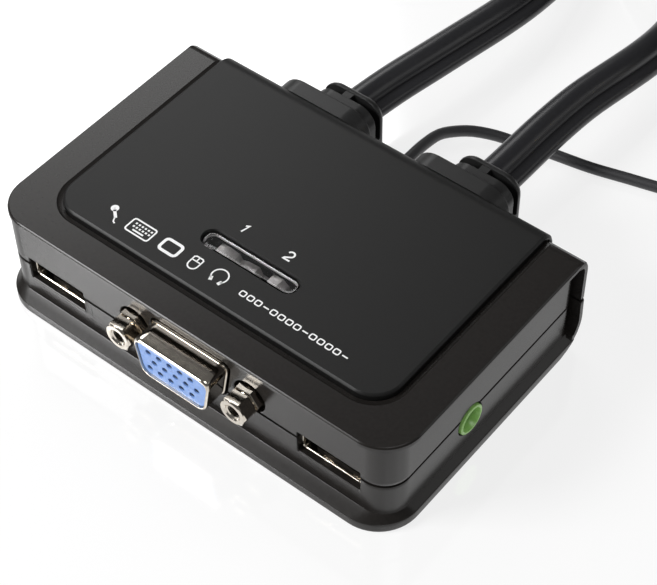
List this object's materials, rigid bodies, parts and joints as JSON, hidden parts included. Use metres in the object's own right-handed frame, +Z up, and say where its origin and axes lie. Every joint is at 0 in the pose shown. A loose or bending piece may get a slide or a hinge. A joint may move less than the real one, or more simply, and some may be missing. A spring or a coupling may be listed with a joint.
{
  "type": "kvm switch",
  "caption": "Rounded black desktop KVM box with VGA, USB and audio sockets, raised matte top panel, built-in cables and remote button.",
  "frame": {"origin": "on the surface under the middle of the switch, strain reliefs included, cords and plugs left out", "axes": "+X to the right seen from the socket side, +Y to the rear where the cables leave, +Z up"},
  "size_m": [0.1328, 0.2592, 0.0384],
  "materials": {
    "gloss_black": "polished black ABS",
    "matte_black": "fine matte texture",
    "lens": "smoky translucent acrylic",
    "nickel": "nickel plate, lightly brushed",
    "vga_blue": "moulded blue nylon",
    "lime": "satin lime green",
    "pink": "satin pink",
    "board": "green solder mask",
    "led": "clear tinted epoxy",
    "chip": "moulded epoxy",
    "header": "natural nylon",
    "rubber": "satin moulded PVC",
    "cable_jacket": "satin PVC jacket",
    "lead_jacket": "satin dark grey PVC jacket",
    "plug_vinyl": "satin moulded PVC"
  },
  "bodies": {
    "case": {"upper_housing": "gloss_black", "lower_housing": "gloss_black", "top_panel": "matte_black", "remote_base": "matte_black", "remote_cap": "matte_black", "led_lens": "lens", "vga_socket_shell": "nickel", "vga_jackscrew_left": "nickel", "vga_jackscrew_right": "nickel", "usb_shell_left": "nickel", "usb_shell_right": "nickel", "case_screw_left": "nickel", "case_screw_right": "nickel", "vga_plug_shell_left": "nickel", "vga_plug_shell_right": "nickel", "usb_plug_shell_left": "nickel", "usb_plug_shell_right": "nickel", "crystal": "nickel", "vga_socket_insulator": "vga_blue", "headphone_jack": "lime", "microphone_jack": "pink", "main_board": "board", "led_port_1": "led", "led_port_2": "led", "switch_chip": "chip", "capacitor": "chip", "usb_tongue_left": "chip", "usb_tongue_right": "chip", "remote_switch": "chip", "cable_header_left": "header", "cable_header_right": "header", "strain_relief_left": "rubber", "strain_relief_right": "rubber", "remote_grommet": "rubber", "foot_1": "rubber", "foot_2": "rubber", "foot_3": "rubber", "foot_4": "rubber", "cable_left": "cable_jacket", "cable_right": "cable_jacket", "cable_left_coil": "cable_jacket", "cable_right_coil": "cable_jacket", "usb_lead_left": "cable_jacket", "usb_lead_right": "cable_jacket", "remote_cable": "lead_jacket", "remote_cable_coil": "lead_jacket", "remote_cable_tail": "lead_jacket", "vga_plug_hood_left": "plug_vinyl", "vga_plug_hood_right": "plug_vinyl", "usb_plug_grip_left": "plug_vinyl", "usb_plug_grip_right": "plug_vinyl"},
    "thumbscrew_left_outer_body": {"thumbscrew_left_outer": "plug_vinyl"},
    "thumbscrew_left_inner_body": {"thumbscrew_left_inner": "plug_vinyl"},
    "thumbscrew_right_outer_body": {"thumbscrew_right_outer": "plug_vinyl"},
    "thumbscrew_right_inner_body": {"thumbscrew_right_inner": "plug_vinyl"},
    "remote_button_body": {"remote_button": "gloss_black"}
  },
  "joints": [
    {"name": "thumbscrew_left_outer_turn", "type": "hinge", "parent": "case", "child": "thumbscrew_left_outer_body", "pos_m": [0.08439, 0.1082, 0.027], "axis": [0, -1, 0], "continuous": true},
    {"name": "thumbscrew_left_inner_turn", "type": "hinge", "parent": "case", "child": "thumbscrew_left_inner_body", "pos_m": [0.0594, 0.1082, 0.027], "axis": [0, -1, 0], "continuous": true},
    {"name": "thumbscrew_right_outer_turn", "type": "hinge", "parent": "case", "child": "thumbscrew_right_outer_body", "pos_m": [-0.02619, 0.2202, 0.0311], "axis": [0, 1, 0], "continuous": true},
    {"name": "thumbscrew_right_inner_turn", "type": "hinge", "parent": "case", "child": "thumbscrew_right_inner_body", "pos_m": [-0.0012, 0.2202, 0.0311], "axis": [0, 1, 0], "continuous": true},
    {"name": "remote_button_press", "type": "slide", "parent": "case", "child": "remote_button_body", "axis": [0, 0, -1], "range_m": [0, 0.001], "stiffness_N_per_m": 400}
  ]
}
